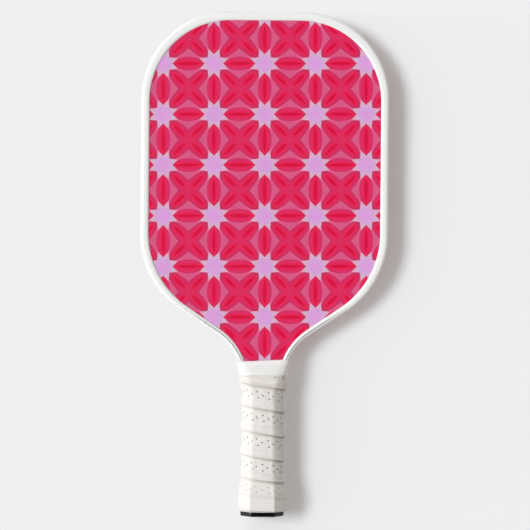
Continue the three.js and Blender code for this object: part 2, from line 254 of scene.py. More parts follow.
def make_world():
    """A pale room, brightest to the left, dim to the right and dark behind the camera.

    The camera sees a plain tone instead.
    """
    world = bpy.data.worlds.new("surround")
    scene.world = world
    world.use_nodes = True
    graph = Graph(world.node_tree)
    graph.tree.nodes.clear()
    x, y, z = graph.split(graph.node("TexCoord").outputs["Generated"])
    leftness = graph.math("POWER", graph.ramp(x, 1, -1), WINDOW_FALLOFF)
    rightness = graph.ramp(x, DIMS_FROM, 1, 1, ROOM_RIGHT)
    dimmed = graph.math("MULTIPLY", graph.blend(y, *DARK_BEHIND), rightness)
    room = graph.node("Background", {"Color": ROOM, "Strength": dimmed}).outputs[0]
    window = graph.node("Background", {"Color": WINDOW, "Strength": leftness}).outputs[0]
    lit = graph.node("AddShader", {0: room, 1: window}).outputs[0]
    plain = graph.node("Background", {"Color": BACKGROUND}).outputs[0]
    direct = graph.node("LightPath").outputs["Is Camera Ray"]
    seen = graph.node("MixShader", {0: direct, 1: lit, 2: plain}).outputs[0]
    graph.node("OutputWorld", {"Surface": seen})


make_world()

# %% [markdown]
# ## Node groups that finishes share
# Three effects turn up on more than one part, so each is a group with named sockets:
# a fine moulding or film texture, soft uneven patches, and the printed repeat.
# Every group gives only a value or a colour, and the material decides what it drives.

# %% Group helper


def new_group(name, inputs, outputs):
    """Makes an empty group and hands back its graph, its input sockets and its output node."""
    tree = bpy.data.node_groups.new(name, "ShaderNodeTree")
    for label, kind, default in inputs:
        socket = tree.interface.new_socket(label, in_out="INPUT", socket_type="NodeSocket" + kind)
        if default is not None:
            socket.default_value = default
    for label, kind in outputs:
        tree.interface.new_socket(label, in_out="OUTPUT", socket_type="NodeSocket" + kind)
    given = tree.nodes.new("NodeGroupInput")
    result = tree.nodes.new("NodeGroupOutput")
    return tree, Graph(tree), given.outputs, result.inputs


def use_group(graph, tree, **inputs):
    made = graph.tree.nodes.new("ShaderNodeGroup")
    made.node_tree = tree
    made.label = tree.name
    for label, value in inputs.items():
        graph.feed(made.inputs[label.replace("_", " ")], value)
    return made.outputs


# %% Fine grain and soft patches


def make_fine_grain():
    """The slight unevenness of a moulded or cast surface, at two sizes."""
    inputs = [("Vector", "Vector", None), ("Size", "Float", 0.001)]
    tree, graph, given, result = new_group("fine_grain", inputs, [("Height", "Float")])
    scale = graph.math("DIVIDE", 1.0, given["Size"])
    small = graph.noise(given["Vector"], scale, 3.0, 0.6)
    large = graph.noise(given["Vector"], graph.math("MULTIPLY", scale, 0.2), 1.0)
    height = graph.math("MULTIPLY_ADD", large, 0.35, graph.math("MULTIPLY", small, 0.65))
    graph.feed(result["Height"], height)
    return tree


def make_soft_patches():
    """Broad pale and dark patches, as handling and dust leave on a plain finish."""
    inputs = [("Vector", "Vector", None), ("Size", "Float", 0.05), ("Strength", "Float", 0.1)]
    tree, graph, given, result = new_group("soft_patches", inputs, [("Factor", "Float")])
    scale = graph.math("DIVIDE", 1.0, given["Size"])
    cloud = graph.noise(given["Vector"], scale, 3.0, 0.55)
    swing = graph.math("MULTIPLY", graph.math("SUBTRACT", cloud, 0.5), given["Strength"])
    graph.feed(result["Factor"], graph.math("ADD", swing, 1.0))
    return tree


FINE_GRAIN = make_fine_grain()
SOFT_PATCHES = make_soft_patches()
print("groups", FINE_GRAIN.name, SOFT_PATCHES.name)

# %% [markdown]
# ## The printed repeat
# A film is printed with a square repeat of pale eight-pointed stars between rings of
# red petals. A real film would be printed from flat artwork. Here the artwork is a
# handful of distances: every shape is the inside of a few circles or straight lines,
# folded about the lines of symmetry of the square. Distances keep the edges crisp at
# any size, and the same distance gives each petal its darker rim.
#
# All lengths in the group are shares of the repeat. `Across` and `Up` are the place
# on the face in repeats, counted from the middle of one star.

# %% Printed repeat
GROUND = srgb(226, 84, 131)
GROUND_BRIGHT = srgb(239, 86, 138)
GROUND_DULL = srgb(213, 94, 135)
PETAL = srgb(219, 42, 96)
PETAL_OUTER = srgb(225, 44, 103)
PETAL_BRIGHT = srgb(231, 34, 86)
PETAL_HEART = srgb(222, 43, 96)
PETAL_STRIPE = srgb(218, 3, 64)
PETAL_RIM = srgb(196, 46, 91)
PETAL_OUTLINE = srgb(150, 58, 97)
STAR_HEART = srgb(226, 157, 223)
STAR_BODY = srgb(217, 165, 220)
STAR_ARM = srgb(221, 176, 205)
STAR_TIP = srgb(231, 164, 184)
PRINT_SOFTNESS = 0.009
PETAL_MIDDLE = 0.62
PETAL_HALF_LENGTH = 0.43
PETAL_HALF_WIDTH = 0.143
PETAL_BLUNTNESS = 0.03

# Circles are given by their centre and radius, and lines by their slopes and offset.
PETAL_LOBE = (0.45, -0.408, 0.442)
EDGE_PETAL = (0.5, -0.3739, 0.5122)
EDGE_STRIPE = (0.5, -0.9772, 1.0112)
NOTCH_TO_TIP = (0.697, -0.717, 0.697 * 0.181)
DIAGONAL_TO_TIP = (0.101, 0.995, (0.101 + 0.995) * 0.121)


def make_star_print():
    """Colours a square repeat. The folds leave one eighth of it to draw."""
    inputs = [("Across", "Float", 0.0), ("Up", "Float", 0.0)]
    tree, graph, given, result = new_group("star_print", inputs, [("Color", "Color")])

    def inside(distance, softness=PRINT_SOFTNESS):
        return graph.blend(distance, softness, -softness)

    def length(first, second):
        squares = graph.math("MULTIPLY", second, second)
        return graph.math("SQRT", graph.math("MULTIPLY_ADD", first, first, squares))

    def circle(x, y, centre_x, centre_y, radius):
        reach = length(graph.math("SUBTRACT", x, centre_x), graph.math("SUBTRACT", y, centre_y))
        return graph.math("SUBTRACT", reach, radius)

    def line(x, y, x_share, y_share, offset):
        level = graph.math("MULTIPLY_ADD", x, x_share, graph.math("MULTIPLY", y, y_share))
        return graph.math("SUBTRACT", level, offset)

    fold_x = graph.math("PINGPONG", given["Across"], 0.5)
    fold_y = graph.math("PINGPONG", given["Up"], 0.5)
    major = graph.math("MAXIMUM", fold_x, fold_y)
    minor = graph.math("MINIMUM", fold_x, fold_y)
    from_star = length(major, minor)
    along = graph.math("MULTIPLY", graph.math("ADD", major, minor), math.sqrt(0.5))
    aside = graph.math("MULTIPLY", graph.math("SUBTRACT", major, minor), math.sqrt(0.5))

    # Ground: lighter near a star's tips, greyer out between the petals.
    ground = graph.mix(graph.blend(from_star, 0.3, 0.42), GROUND_BRIGHT, GROUND)
    between = graph.math("MULTIPLY", graph.blend(major, 0.33, 0.46), graph.blend(minor, 0.1, 0.22))
    colour = graph.mix(graph.math("MULTIPLY", between, 0.8), ground, GROUND_DULL)

    # Petals on the diagonals, round the place where four repeats meet.
    lengthwise = graph.math("SUBTRACT", along, PETAL_MIDDLE)
    lengthwise = graph.math("DIVIDE", lengthwise, PETAL_HALF_LENGTH)
    crosswise = graph.math("DIVIDE", aside, PETAL_HALF_WIDTH)
    past_rim = graph.math("SUBTRACT", length(lengthwise, crosswise), 1.0)
    diagonal = graph.math("MULTIPLY", past_rim, PETAL_HALF_WIDTH)
    from_line = graph.math("ABSOLUTE", aside)
    lobe = circle(along, from_line, *PETAL_LOBE)
    diagonal_fill = graph.mix(graph.blend(from_line, 0.085, 0.05), PETAL, PETAL_BRIGHT)
    diagonal_fill = graph.mix(inside(lobe, 0.01), diagonal_fill, PETAL_STRIPE)
    diagonal_fill = graph.mix(graph.blend(along, 0.56, 0.68), diagonal_fill, PETAL_HEART)

    # Petals on the edges of the repeat, each with a fine stripe down the middle.
    blunt = length(minor, PETAL_BLUNTNESS)
    edge = circle(major, blunt, *EDGE_PETAL)
    stripe = circle(major, minor, *EDGE_STRIPE)
    edge_fill = graph.mix(graph.blend(minor, 0.085, 0.06), PETAL_OUTER, PETAL_BRIGHT)
    edge_fill = graph.mix(inside(stripe, 0.007), edge_fill, PETAL_STRIPE)

    petal = graph.math("MINIMUM", diagonal, edge)
    in_edge = inside(graph.math("SUBTRACT", edge, diagonal))
    fill = graph.mix(in_edge, diagonal_fill, edge_fill)
    rim = graph.blend(petal, -0.026, -0.012)
    fill = graph.mix(graph.math("MULTIPLY", rim, 0.75), fill, PETAL_RIM)
    colour = graph.mix(inside(petal), colour, fill)
    outline = graph.math("SUBTRACT", 1.0, graph.blend(graph.math("ABSOLUTE", petal), 0.003, 0.011))
    near_tips = graph.math("MULTIPLY", graph.blend(from_star, 0.42, 0.32), 0.4)
    colour = graph.mix(graph.math("MULTIPLY", outline, near_tips), colour, PETAL_OUTLINE)

    # The star itself, palest at its tips.
    notch_to_tip = line(major, minor, *NOTCH_TO_TIP)
    diagonal_to_tip = line(major, minor, *DIAGONAL_TO_TIP)
    star = graph.math("MAXIMUM", notch_to_tip, diagonal_to_tip)
    star_fill = graph.mix(graph.blend(from_star, 0.02, 0.13), STAR_HEART, STAR_BODY)
    star_fill = graph.mix(graph.blend(from_star, 0.13, 0.2), star_fill, STAR_ARM)
    star_fill = graph.mix(graph.blend(from_star, 0.22, 0.29), star_fill, STAR_TIP)
    colour = graph.mix(inside(star), colour, star_fill)

    graph.feed(result["Color"], colour)
    return tree


STAR_PRINT = make_star_print()
print("print nodes", len(STAR_PRINT.nodes))

# %% [markdown]
# ## Finishes
# Every part gets its own procedural finish, made from its place in space, so none of
# them needs an image or an unwrapped mesh.

# %% Material helper


def new_material(name, colour=(0.8, 0.8, 0.8, 1), roughness=0.5, metallic=0.0, specular=0.5):
    """Makes a material with a plain Principled shader to build on."""
    material = bpy.data.materials.new(name)
    material.use_nodes = True
    graph = Graph(material.node_tree)
    shader = material.node_tree.nodes["Principled BSDF"]
    shader.inputs["Base Color"].default_value = colour
    shader.inputs["Roughness"].default_value = roughness
    shader.inputs["Metallic"].default_value = metallic
    shader.inputs["Specular IOR Level"].default_value = specular
    return material, graph, shader.inputs


def bump(graph, inputs, height, depth):
    """Raises the surface by height times depth, in metres."""
    made = graph.node("Bump", {"Height": height, "Distance": depth, "Strength": 1.0})
    graph.feed(inputs["Normal"], made.outputs["Normal"])


def tint(graph, inputs, colour, factor):
    """Colours the surface with numbers or a socket, made lighter or darker by a factor."""
    given = colour if isinstance(colour, bpy.types.NodeSocket) else colour[:3]
    scaled = graph.node("VectorMath", {0: given, "Scale": factor}, operation="SCALE")
    graph.feed(inputs["Base Color"], scaled.outputs["Vector"])


def roughen(graph, inputs, value, smoothest, roughest, low=0.3, high=0.7):
    """Lets the roughness follow a value, from its low end to its high end."""
    graph.feed(inputs["Roughness"], graph.blend(value, low, high, smoothest, roughest))


def soft_patches(graph, place, size, strength):
    return use_group(graph, SOFT_PATCHES, Vector=place, Size=size, Strength=strength)["Factor"]


def fine_grain(graph, place, size):
    return use_group(graph, FINE_GRAIN, Vector=place, Size=size)["Height"]


# %% [markdown]
# ### Printed film
# The decorated skin of a paddle is a thin matt film laid over the glass-fibre sheet.
# The weave under it shows as a fine grit, which players rely on for spin.

# %% Printed film
PRINT_REPEAT = 0.04022
PRINT_CENTRE = (0.0001, 0.2381)
PRINT_TURN = VIEW_ROLL


def make_film(name, facing):
    """The print, seen the right way round from the side it faces."""
    material, graph, inputs = new_material(name, roughness=0.5, specular=0.12)
    place = graph.place()
    x, y, z = graph.split(place)
    right = graph.math("SUBTRACT", x, PRINT_CENTRE[0])
    right = graph.math("MULTIPLY", right, facing / PRINT_REPEAT)
    rise = graph.math("SUBTRACT", z, PRINT_CENTRE[1])
    rise = graph.math("MULTIPLY", rise, 1 / PRINT_REPEAT)
    turn = PRINT_TURN * facing
    leaning = graph.math("MULTIPLY", rise, math.sin(turn))
    across = graph.math("MULTIPLY_ADD", right, math.cos(turn), leaning)
    sinking = graph.math("MULTIPLY", right, -math.sin(turn))
    up = graph.math("MULTIPLY_ADD", rise, math.cos(turn), sinking)
    printed = use_group(graph, STAR_PRINT, Across=across, Up=up)
    patches = soft_patches(graph, place, 0.03, 0.05)
    grain = fine_grain(graph, place, 0.0009)
    speck = graph.blend(grain, 0.35, 0.65, 0.97, 1.03)
    shade = graph.math("MULTIPLY", patches, speck)
    tint(graph, inputs, printed["Color"], shade)
    roughen(graph, inputs, grain, 0.46, 0.58)
    bump(graph, inputs, grain, 0.00006)
    return material


FILM_FRONT = make_film("printed_film_front", 1)
FILM_BACK = make_film("printed_film_back", -1)
print("films", FILM_FRONT.name, FILM_BACK.name)

# %% [markdown]
# ### Moulded and wound finishes
# The guard is extruded white vinyl and the collar is white rubber, so both are pale
# with a soft shine, and the collar is coloured a little darker in its grooves. The grip
# is a polyurethane strip with a leather grain and punched breathing holes. Its mesh
# carries three masks, made along with its shape: the holes, the crevices beside the
# seams and the cream tape edge near the top. The holes and the crevices are painted
# with shade, darkest on the side of the handle away from the key light. The cap is
# black moulded nylon.

# %% Moulded and wound finishes
LEATHER = srgb(234, 229, 224)
LEATHER_CREAM = srgb(228, 220, 209)
# Painted shade for the crevices beside the seams.
LEATHER_SEAM_SHADE = srgb(160, 152, 145)
# Painted shade for the holes' depths.
LEATHER_HOLE_SHADE = srgb(62, 56, 50)
COLLAR_WHITE = srgb(244, 244, 242)
COLLAR_GROOVE_DARK = srgb(214, 213, 209)


def mask(graph, name):
    """Reads a mask that a mesh carries at its points."""
    return graph.node("Attribute", attribute_name=name, attribute_type="GEOMETRY").outputs["Fac"]


def make_plastic(name, colour, roughness, patch, grain_size, grain_depth, specular=0.5):
    """Moulded or extruded plastic: patches of tone, and grain that breaks up the shine.

    A patch is given as its size and its strength.
    """
    material, graph, inputs = new_material(name, colour, roughness, specular=specular)
    place = graph.place()
    patches = soft_patches(graph, place, *patch)
    grain = fine_grain(graph, place, grain_size)
    tint(graph, inputs, colour, patches)
    roughen(graph, inputs, grain, roughness - 0.05, roughness + 0.07)
    bump(graph, inputs, grain, grain_depth)
    return material


def make_collar_rubber():
    material, graph, inputs = new_material("collar_rubber", roughness=0.55, specular=0.35)
    place = graph.place()
    patches = soft_patches(graph, place, 0.006, 0.05)
    grain = fine_grain(graph, place, 0.0006)
    # The rubber is coloured a little darker in the grooves.
    colour = graph.mix(graph.math("MULTIPLY", mask(graph, "groove"), 0.4), COLLAR_WHITE, COLLAR_GROOVE_DARK)
    tint(graph, inputs, colour, patches)
    roughen(graph, inputs, grain, 0.5, 0.62)
    bump(graph, inputs, grain, 0.00004)
    return material


def make_grip_leather():
    material, graph, inputs = new_material("grip_leather", roughness=0.6, specular=0.35)
    place = graph.place()
    hole = mask(graph, "hole")
    crevice = mask(graph, "crevice")
    patches = soft_patches(graph, place, 0.008, 0.06)
    pebbles = graph.cells(place, 1400.0, "SMOOTH_F1")
    grain = fine_grain(graph, place, 0.0005)
    hide = graph.math("MULTIPLY_ADD", pebbles, 0.5, graph.math("MULTIPLY", grain, 0.5))
    streaks = graph.noise(graph.stretched(place, (1, 1, 7)), 170.0, 3.0, 0.6)
    colour = graph.mix(graph.math("MULTIPLY", mask(graph, "cream"), 0.65), LEATHER, LEATHER_CREAM)
    # Painted shade beside the seams, carried by the crevice mask.
    colour = graph.mix(graph.math("MULTIPLY", crevice, 0.6), colour, LEATHER_SEAM_SHADE)
    # The holes are coloured dark as painted shade in their depths.
    colour = graph.mix(hole, colour, LEATHER_HOLE_SHADE)
    shade = graph.math("MULTIPLY", patches, graph.blend(hide, 0.2, 0.7, 0.975, 1.015))
    shade = graph.math("MULTIPLY", shade, graph.blend(streaks, 0.3, 0.7, 0.955, 1.025))
    tint(graph, inputs, colour, shade)
    roughen(graph, inputs, hide, 0.55, 0.7, 0.2, 0.7)
    bump(graph, inputs, graph.math("MULTIPLY_ADD", streaks, 1.5, hide), 0.00012)
    return material


GUARD_VINYL = make_plastic("guard_vinyl", srgb(243, 243, 241), 0.42, (0.03, 0.03), 0.0012, 0.00003)
CAP_NYLON = make_plastic("cap_nylon", srgb(3, 3, 3), 0.14, (0.01, 0.4), 0.0005, 0.000005, 0.6)
COLLAR_RUBBER = make_collar_rubber()
GRIP_LEATHER = make_grip_leather()
print("finishes", GUARD_VINYL.name, CAP_NYLON.name, COLLAR_RUBBER.name, GRIP_LEATHER.name)

# %% [markdown]
# ### Finishes inside the paddle
# The laminate, the pallets, the staples and the tape are hidden once the paddle is
# put together, and they show when it is taken apart. A glass-fibre sheet has a plain
# weave, a veil is a tissue of scattered fibres, and a core is natural polypropylene.
# The pallets are moulded from foamed plastic and left rough, so small pores show.

# %% Finishes inside the paddle


def make_glass_fibre():
    """A plain weave: two sets of tows, each over the other in turn."""
    material, graph, inputs = new_material("glass_fibre", roughness=0.35)
    place = graph.place()
    x, y, z = graph.split(place)
    tow = math.pi / 0.0016
    across = graph.math("SINE", graph.math("MULTIPLY", x, tow))
    up = graph.math("SINE", graph.math("MULTIPLY", z, tow))
    weave = graph.math("MULTIPLY_ADD", graph.math("MULTIPLY", across, up), 0.5, 0.5)
    patches = soft_patches(graph, place, 0.02, 0.1)
    colour = graph.mix(weave, srgb(205, 207, 190), srgb(228, 228, 214))
    tint(graph, inputs, colour, patches)
    roughen(graph, inputs, weave, 0.3, 0.45, 0.0, 1.0)
    bump(graph, inputs, weave, 0.00005)
    return material


def make_veil_tissue():
    """Fine fibres lying every way, from two stretched noises."""
    material, graph, inputs = new_material("veil_tissue", roughness=0.8, specular=0.3)
    place = graph.place()
    fibres = []
    for angle in (0.6, -0.9):
        turned = graph.stretched(place, (1, 1, 14), (0, angle, 0))
        fibres.append(graph.noise(turned, 260.0, 4.0, 0.7))
    tangle = graph.math("MAXIMUM", *fibres)
    share = graph.blend(tangle, 0.4, 0.7)
    graph.feed(inputs["Base Color"], graph.mix(share, srgb(214, 212, 204), srgb(240, 239, 234)))
    bump(graph, inputs, tangle, 0.00008)
    return material


def make_core_polymer():
    """Natural polypropylene: milky, a little waxy, and paler at the heat-sealed rims."""
    material, graph, inputs = new_material("core_polypropylene", roughness=0.45)
    place = graph.place()
    patches = soft_patches(graph, place, 0.015, 0.08)
    x, y, z = graph.split(place)
    rim = graph.blend(graph.math("ABSOLUTE", y), 0.0052, 0.006)
    colour = graph.mix(rim, srgb(222, 224, 222), srgb(240, 241, 238))
    tint(graph, inputs, colour, patches)
    inputs["Subsurface Weight"].default_value = 0.2
    inputs["Subsurface Scale"].default_value = 0.001
    grain = fine_grain(graph, place, 0.0008)
    bump(graph, inputs, grain, 0.00003)
    return material


def make_foam():
    """Foamed plastic, moulded and left rough: open pores of many sizes."""
    material, graph, inputs = new_material("pallet_foam", roughness=0.85, specular=0.2)
    place = graph.place()
    pores = graph.cells(place, 900.0)
    patches = soft_patches(graph, place, 0.012, 0.12)
    colour = graph.mix(graph.blend(pores, 0.15, 0.45), srgb(160, 158, 150), srgb(120, 118, 111))
    tint(graph, inputs, colour, patches)
    bump(graph, inputs, graph.math("SUBTRACT", 1.0, pores), 0.0002)
    return material


def make_staple_steel():
    """Drawn wire: fine lines along it, and a dull zinc bloom."""
    material, graph, inputs = new_material("staple_steel", roughness=0.35, metallic=1.0)
    place = graph.place()
    lines = graph.noise(graph.stretched(place, (0.05, 1, 1)), 6000.0, 2.0)
    bloom = soft_patches(graph, place, 0.002, 0.25)
    tint(graph, inputs, srgb(186, 188, 190), bloom)
    roughen(graph, inputs, lines, 0.28, 0.48)
    bump(graph, inputs, lines, 0.00002)
    return material


def make_disc_foil():
    """A plain dark sticker with a fine turned pattern, under a clear dome."""
    material, graph, inputs = new_material("disc_foil", roughness=0.4, metallic=0.3)
    place = graph.place()
    x, y, z = graph.split(place)
    radius = graph.math("SQRT", graph.math("MULTIPLY_ADD", x, x, graph.math("MULTIPLY", y, y)))
    rings = graph.math("SINE", graph.math("MULTIPLY", radius, 2 * math.pi / 0.0004))
    patches = soft_patches(graph, place, 0.004, 0.3)
    tint(graph, inputs, srgb(38, 38, 41), patches)
    roughen(graph, inputs, rings, 0.32, 0.46, -1.0, 1.0)
    bump(graph, inputs, rings, 0.00001)
    inputs["Coat Weight"].default_value = 0.6
    inputs["Coat Roughness"].default_value = 0.12
    return material


GLASS_FIBRE = make_glass_fibre()
VEIL_TISSUE = make_veil_tissue()
CORE_POLYMER = make_core_polymer()
FOAM = make_foam()
STEEL = make_staple_steel()
DISC_FOIL = make_disc_foil()
TAPE_VINYL = make_plastic("tape_vinyl", srgb(240, 240, 237), 0.3, (0.01, 0.04), 0.0008, 0.00002)
print("inside finishes", len(bpy.data.materials), "materials so far")

# %% [markdown]
# ## Meshes from rings
# Every finer piece is a skin over a row of closed rings with equally many points. A
# ring could be drawn by hand for each height, but the handle changes its octagon
# smoothly, so the rings come from sections: the two half sizes and the half lengths
# of the front and side flats, in millimetres. Rings of the outer skin run up the
# piece and rings of the inner skin run down again, which closes the solid.

# %% Ring meshes


def make_object(name, points, faces, material, sharp_angle=35, **masks):
    """A smooth-shaded mesh object. Points are in millimetres."""
    mesh = bpy.data.meshes.new(name)
    mesh.from_pydata((np.asarray(points) * MM).tolist(), [], faces)
    mesh.materials.append(material)
    for label, values in masks.items():
        layer = mesh.attributes.new(label, "FLOAT", "POINT")
        layer.data.foreach_set("value", np.asarray(values, dtype=np.float32).ravel())
    mesh.shade_smooth()
    mesh.set_sharp_from_angle(angle=math.radians(sharp_angle))
    made = bpy.data.objects.new(name, mesh)
    scene.collection.objects.link(made)
    return made


def skin_faces(ring_count, point_count, closed_rows=True):
    """Quads between neighbouring rings, facing out when rings run up and counter-clockwise."""
    rows = ring_count if closed_rows else ring_count - 1
    low = np.arange(rows)[:, None]
    here = np.arange(point_count)[None, :]
    high = (low + 1) % ring_count
    there = (here + 1) % point_count
    corners = [low * point_count + here, low * point_count + there]
    corners += [high * point_count + there, high * point_count + here]
    return np.stack(np.broadcast_arrays(*corners), axis=-1).reshape(-1, 4).tolist()


def capped_faces(ring_count, point_count):
    """The faces of a solid whose first and last rings are closed by a flat face each."""
    first_of_last = (ring_count - 1) * point_count
    ends = [list(range(point_count))[::-1], list(range(first_of_last, ring_count * point_count))]
    return skin_faces(ring_count, point_count, closed_rows=False) + ends


def grow(section, amount):
    """Moves every side of an octagon out by one distance."""
    slope = math.tan(math.pi / 8) * amount
    return np.asarray(section, dtype=float) + (amount, amount, slope, slope)


def sections_at(heights, levels, softness=0.0):
    """Sections between the given levels, with the bends between them smoothed."""
    level_heights = [height for height, section in levels]
    columns = np.array([section for height, section in levels], dtype=float).T
    shifts = np.linspace(-softness, softness, 9)
    spread = np.asarray(heights)[:, None] + shifts[None, :]
    smoothed = [np.interp(spread, level_heights, column).mean(axis=1) for column in columns]
    return np.stack(smoothed, axis=-1)


CORNER_STEPS = 7


def octagon_ring(section, radius, flat_steps, bulge=0.0):
    """Points round an octagon with rounded corners, counter-clockwise from the front's middle.

    Its flats swell by the bulge, in mm, as padding under a covering does.
    """
    half_width, half_depth, front_flat, side_flat = section
    right = [(front_flat, -half_depth), (half_width, -side_flat)]
    right += [(half_width, side_flat), (front_flat, half_depth)]
    corners = np.array(right + [(-x, -y) for x, y in right], dtype=float)
    sides = np.roll(corners, -1, axis=0) - corners
    sides /= np.linalg.norm(sides, axis=1)[:, None]
    leaving = np.stack([sides[:, 1], -sides[:, 0]], axis=-1)
    arriving = np.roll(leaving, 1, axis=0)
    bend = 1 + (leaving * arriving).sum(axis=1)
    centres = corners - radius * (arriving + leaving) / bend[:, None]
    ring = []
    for index in range(8):
        start = math.atan2(arriving[index, 1], arriving[index, 0])
        turn = math.atan2(leaving[index, 1], leaving[index, 0]) - start
        turn %= 2 * math.pi
        angles = start + turn * np.linspace(0, 1, CORNER_STEPS + 1)
        ring.append(centres[index] + radius * np.stack([np.cos(angles), np.sin(angles)], axis=-1))
        first = centres[index] + radius * leaving[index]
        last = centres[(index + 1) % 8] + radius * leaving[index]
        steps = flat_steps[index % 4]
        share = (np.arange(1, steps) / steps)[:, None]
        swell = bulge * np.sin(math.pi * share) ** 2
        ring.append(first + share * (last - first) + leaving[index] * swell)
    return np.roll(np.concatenate(ring), flat_steps[3] // 2, axis=0)


def lift(ring, height):
    """A flat ring, set at a height."""
    return np.column_stack([ring, np.full(len(ring), height)])


def octagon_rings(heights, levels, radii, flat_steps, softness=0.0, bulges=0.0):
    """Stacked rings as one array of shape (heights, points, 3)."""
    rings = []
    sections = sections_at(heights, levels, softness)
    radii = np.broadcast_to(radii, len(heights))
    bulges = np.broadcast_to(bulges, len(heights))
    for height, section, radius, bulge in zip(heights, sections, radii, bulges):
        rings.append(lift(octagon_ring(section, radius, flat_steps, bulge), height))
    return np.array(rings)


def outward(rings):
    """The level direction that points straight out at every point of stacked rings."""
    along = np.roll(rings, -1, axis=1) - np.roll(rings, 1, axis=1)
    normal = np.stack([along[..., 1], -along[..., 0], np.zeros(along.shape[:2])], axis=-1)
    return normal / np.linalg.norm(normal, axis=-1)[..., None]


def smooth(value, low, high):
    """Rises from 0 to 1 as value goes from low to high, and falls when low is the greater."""
    share = np.clip((value - low) / (high - low), 0, 1)
    return share * share * (3 - 2 * share)


print("ring of", len(octagon_ring((16, 15, 9, 7), 2, (8, 12, 8, 14))), "points")

# %% [markdown]
# ## Edge guard
# A guard is one length of extruded vinyl channel, heated and stretched round the
# blade, and its two tails run down inside the collar. A bevel on the CAD channel
# could soften it. Sweeping a drawn profile gives the outer edge, the lip's rolled
# inner edge and the pocket their own radii, and it keeps the lip's width exact,
# because the outer and inner edges of the channel are two separate outlines of
# circles and straight lines, matched arc by arc.

# %% Guard outlines
GUARD_OUTSIDE = dict(
    half_width=98.4, top=400, top_radius=69.5, corner_radius=72.1,
    corner_height=223.1, flank=57, throat_radius=47.6, neck=16.1,
)
GUARD_INSIDE = dict(
    half_width=91.8, top=392.9, top_radius=64.2, corner_radius=70.3,
    corner_height=224, flank=55.8, throat_radius=51.2, neck=12,
)
GUARD_BOTTOM = 116.2
GUARD_STEPS = dict(throat=44, flank=12, corner=56, side=30, crown=48, top=18)


def half_outline(
    half_width, top, top_radius, corner_radius, corner_height, flank, throat_radius, neck
):
    """The right half of a blade outline, from its tail in the throat to the middle of the top."""
    bend = math.radians(flank)
    corner_x = half_width - corner_radius
    throat_x = neck + throat_radius
    reach = corner_radius + throat_radius
    flank_length = (corner_x + reach * math.cos(bend) - throat_x) / math.sin(bend)
    throat_z = corner_height - reach * math.sin(bend) - flank_length * math.cos(bend)
    top_x = half_width - top_radius
    top_z = top - top_radius
    first = math.pi - math.asin((GUARD_BOTTOM - throat_z) / throat_radius)

    def arc(x, z, radius, start, end, steps):
        angles = np.linspace(start, end, steps + 1)
        return np.column_stack([x + radius * np.cos(angles), z + radius * np.sin(angles)])

    def straight(start, end, steps):
        share = np.linspace(0, 1, steps + 1)[1:-1, None]
        return np.asarray(start) * (1 - share) + np.asarray(end) * share

    throat = arc(throat_x, throat_z, throat_radius, first, math.pi - bend, GUARD_STEPS["throat"])
    corner = arc(corner_x, corner_height, corner_radius, -bend, 0, GUARD_STEPS["corner"])
    crown = arc(top_x, top_z, top_radius, 0, math.pi / 2, GUARD_STEPS["crown"])
    flank_line = straight(throat[-1], corner[0], GUARD_STEPS["flank"])
    side_line = straight(corner[-1], crown[0], GUARD_STEPS["side"])
    top_line = straight(crown[-1], (0, top), GUARD_STEPS["top"])
    return np.concatenate([throat, flank_line, corner, side_line, crown, top_line, [[0, top]]])


def whole_outline(half):
    mirrored = half[:-1][::-1] * (-1, 1)
    return np.concatenate([half, mirrored])


outer_edge = whole_outline(half_outline(**GUARD_OUTSIDE))
inner_edge = whole_outline(half_outline(**GUARD_INSIDE))
lip_width = float(outer_edge[:, 0].max() - inner_edge[:, 0].max())
print("guard stations", len(outer_edge), "lip", round(lip_width, 2), "mm")

# %% Guard
COLLAR_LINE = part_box("grip_collar")[1].z / MM - 0.8
GUARD_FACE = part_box("edge_guard")[1].y / MM
FILM_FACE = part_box("graphic_film_back")[1].y / MM
GUARD_WALL = 1.5
GUARD_ROUND = 2.6
LIP_ROUND = 2.4
LIP_END = 0.15
CROWN_SHARES = (0.45, 0.55)
POCKET_SHARE = 0.6
TAIL_STEP = 0.75
TAIL_SUNK = 0.5
TAIL_FADE = 0.3


def guard_profile():
    """Half of the channel from its edge in: share of the lip's width, offset and depth in mm.

    The depth is counted from the middle of the blade, and the other half mirrors it.
    """
    edge_side = [(0, 0, depth) for depth in (0, (GUARD_FACE - GUARD_ROUND) * 0.5)]
    outer = []
    for angle in np.linspace(0, math.pi / 2, 8):
        depth = GUARD_FACE - GUARD_ROUND * (1 - math.sin(angle))
        outer.append((0, GUARD_ROUND * (1 - math.cos(angle)), depth))
    crown = [(share, 0, GUARD_FACE) for share in CROWN_SHARES]
    lip_height = GUARD_FACE - FILM_FACE
    lip = []
    for angle in np.linspace(math.pi / 2, LIP_END, 7):
        step = LIP_ROUND * (math.cos(angle) - 1)
        lip.append((1, step, FILM_FACE + lip_height * math.sin(angle)))
    pocket = [(1, 0, FILM_FACE), (POCKET_SHARE, 0, FILM_FACE)]
    pocket += [(0, GUARD_WALL, FILM_FACE), (0, GUARD_WALL, 0)]
    return edge_side + outer + crown + lip + pocket


